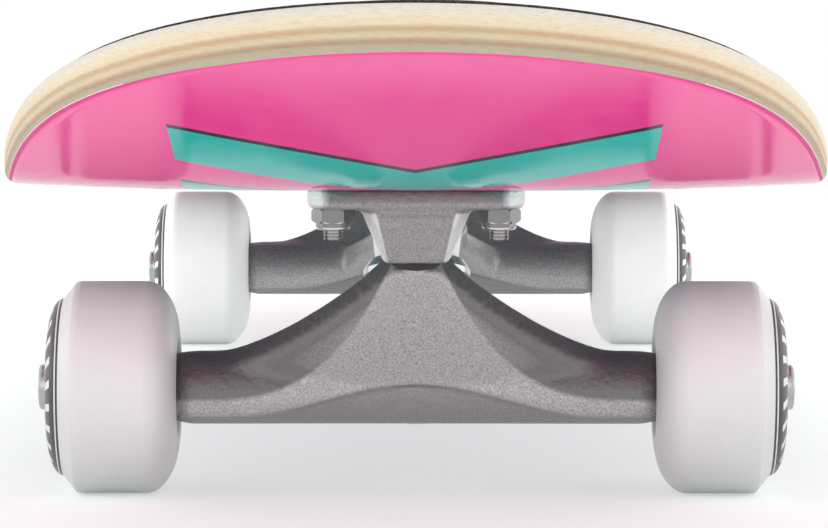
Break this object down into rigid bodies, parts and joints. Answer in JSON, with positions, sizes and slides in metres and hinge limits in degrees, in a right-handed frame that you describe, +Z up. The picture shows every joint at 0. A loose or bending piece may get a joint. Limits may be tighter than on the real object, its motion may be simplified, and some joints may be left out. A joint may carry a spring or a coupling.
{
  "type": "skateboard",
  "caption": "Street skateboard: pressed maple deck with upturned tail and nose, grip tape, cast aluminium trucks that steer on urethane bushings, and white urethane wheels on ball bearings.",
  "frame": {"origin": "on the ground under the middle of the deck's length and width", "axes": "+X to the rider's right when facing the nose, +Y along the board to the nose, +Z up"},
  "size_m": [0.2032, 0.7922, 0.1269],
  "materials": {
    "maple": "sanded plies, gloss pink lacquer underneath",
    "grip": "coarse abrasive grit",
    "cast_aluminium": "tumbled sand casting",
    "zinc_steel": "bright zinc plate",
    "black_steel": "black oxide",
    "axle_steel": "ground",
    "black_urethane": "matt moulded",
    "bushing_urethane": "satin cast",
    "wheel_urethane": "satin cast, black print on the sides",
    "bearing_shield": "black coated",
    "cage_nylon": "moulded nylon"
  },
  "bodies": {
    "board": {"deck": "maple", "grip_tape": "grip", "deck_bolts": "black_steel", "deck_nuts": "zinc_steel", "tail_baseplate": "cast_aluminium", "tail_pivot_cup": "black_urethane", "tail_kingpin": "zinc_steel", "tail_kingpin_nut": "zinc_steel", "tail_boardside_washer": "zinc_steel", "tail_roadside_washer": "zinc_steel", "tail_boardside_bushing": "bushing_urethane", "tail_roadside_bushing": "bushing_urethane", "nose_baseplate": "cast_aluminium", "nose_pivot_cup": "black_urethane", "nose_kingpin": "zinc_steel", "nose_kingpin_nut": "zinc_steel", "nose_boardside_washer": "zinc_steel", "nose_roadside_washer": "zinc_steel", "nose_boardside_bushing": "bushing_urethane", "nose_roadside_bushing": "bushing_urethane"},
    "tail_hanger_set": {"tail_hanger": "cast_aluminium", "tail_axle": "axle_steel", "tail_axle_nuts": "zinc_steel", "tail_speed_washers": "zinc_steel", "tail_bearing_spacers": "axle_steel", "tail_bearing_inner_races": "axle_steel"},
    "tail_left_wheel_set": {"tail_left_wheel": "wheel_urethane", "tail_left_bearing_outer_races": "axle_steel", "tail_left_bearing_shields": "bearing_shield"},
    "tail_left_ball_set": {"tail_left_bearing_balls": "axle_steel", "tail_left_bearing_cages": "cage_nylon"},
    "tail_right_wheel_set": {"tail_right_wheel": "wheel_urethane", "tail_right_bearing_outer_races": "axle_steel", "tail_right_bearing_shields": "bearing_shield"},
    "tail_right_ball_set": {"tail_right_bearing_balls": "axle_steel", "tail_right_bearing_cages": "cage_nylon"},
    "nose_hanger_set": {"nose_hanger": "cast_aluminium", "nose_axle": "axle_steel", "nose_axle_nuts": "zinc_steel", "nose_speed_washers": "zinc_steel", "nose_bearing_spacers": "axle_steel", "nose_bearing_inner_races": "axle_steel"},
    "nose_left_wheel_set": {"nose_left_wheel": "wheel_urethane", "nose_left_bearing_outer_races": "axle_steel", "nose_left_bearing_shields": "bearing_shield"},
    "nose_left_ball_set": {"nose_left_bearing_balls": "axle_steel", "nose_left_bearing_cages": "cage_nylon"},
    "nose_right_wheel_set": {"nose_right_wheel": "wheel_urethane", "nose_right_bearing_outer_races": "axle_steel", "nose_right_bearing_shields": "bearing_shield"},
    "nose_right_ball_set": {"nose_right_bearing_balls": "axle_steel", "nose_right_bearing_cages": "cage_nylon"}
  },
  "joints": [
    {"name": "tail_steer", "type": "hinge", "parent": "board", "child": "tail_hanger_set", "pos_m": [0, -0.18624, 0.0403], "axis": [0, -0.8812, 0.4727], "range_deg": [-12, 12], "stiffness_Nm_per_rad": 40, "deforming": ["tail_boardside_bushing", "tail_roadside_bushing"]},
    {"name": "tail_left_wheel_spin", "type": "hinge", "parent": "tail_hanger_set", "child": "tail_left_wheel_set", "pos_m": [-0.0775, -0.21444, 0.027], "axis": [1, 0, 0], "continuous": true},
    {"name": "tail_left_ball_roll", "type": "hinge", "parent": "tail_hanger_set", "child": "tail_left_ball_set", "pos_m": [-0.0775, -0.21444, 0.027], "axis": [1, 0, 0], "continuous": true},
    {"name": "tail_right_wheel_spin", "type": "hinge", "parent": "tail_hanger_set", "child": "tail_right_wheel_set", "pos_m": [0.0775, -0.21444, 0.027], "axis": [1, 0, 0], "continuous": true},
    {"name": "tail_right_ball_roll", "type": "hinge", "parent": "tail_hanger_set", "child": "tail_right_ball_set", "pos_m": [0.0775, -0.21444, 0.027], "axis": [1, 0, 0], "continuous": true},
    {"name": "nose_steer", "type": "hinge", "parent": "board", "child": "nose_hanger_set", "pos_m": [0, 0.17894, 0.0403], "axis": [0, 0.8812, 0.4727], "range_deg": [-12, 12], "stiffness_Nm_per_rad": 40, "deforming": ["nose_boardside_bushing", "nose_roadside_bushing"]},
    {"name": "nose_left_wheel_spin", "type": "hinge", "parent": "nose_hanger_set", "child": "nose_left_wheel_set", "pos_m": [-0.0775, 0.20714, 0.027], "axis": [1, 0, 0], "continuous": true},
    {"name": "nose_left_ball_roll", "type": "hinge", "parent": "nose_hanger_set", "child": "nose_left_ball_set", "pos_m": [-0.0775, 0.20714, 0.027], "axis": [1, 0, 0], "continuous": true},
    {"name": "nose_right_wheel_spin", "type": "hinge", "parent": "nose_hanger_set", "child": "nose_right_wheel_set", "pos_m": [0.0775, 0.20714, 0.027], "axis": [1, 0, 0], "continuous": true},
    {"name": "nose_right_ball_roll", "type": "hinge", "parent": "nose_hanger_set", "child": "nose_right_ball_set", "pos_m": [0.0775, 0.20714, 0.027], "axis": [1, 0, 0], "continuous": true}
  ],
  "couplings": [
    {"joint": "tail_left_ball_roll", "follows": "tail_left_wheel_spin", "ratio": 0.6323},
    {"joint": "tail_right_ball_roll", "follows": "tail_right_wheel_spin", "ratio": 0.6323},
    {"joint": "nose_left_ball_roll", "follows": "nose_left_wheel_spin", "ratio": 0.6323},
    {"joint": "nose_right_ball_roll", "follows": "nose_right_wheel_spin", "ratio": 0.6323}
  ]
}
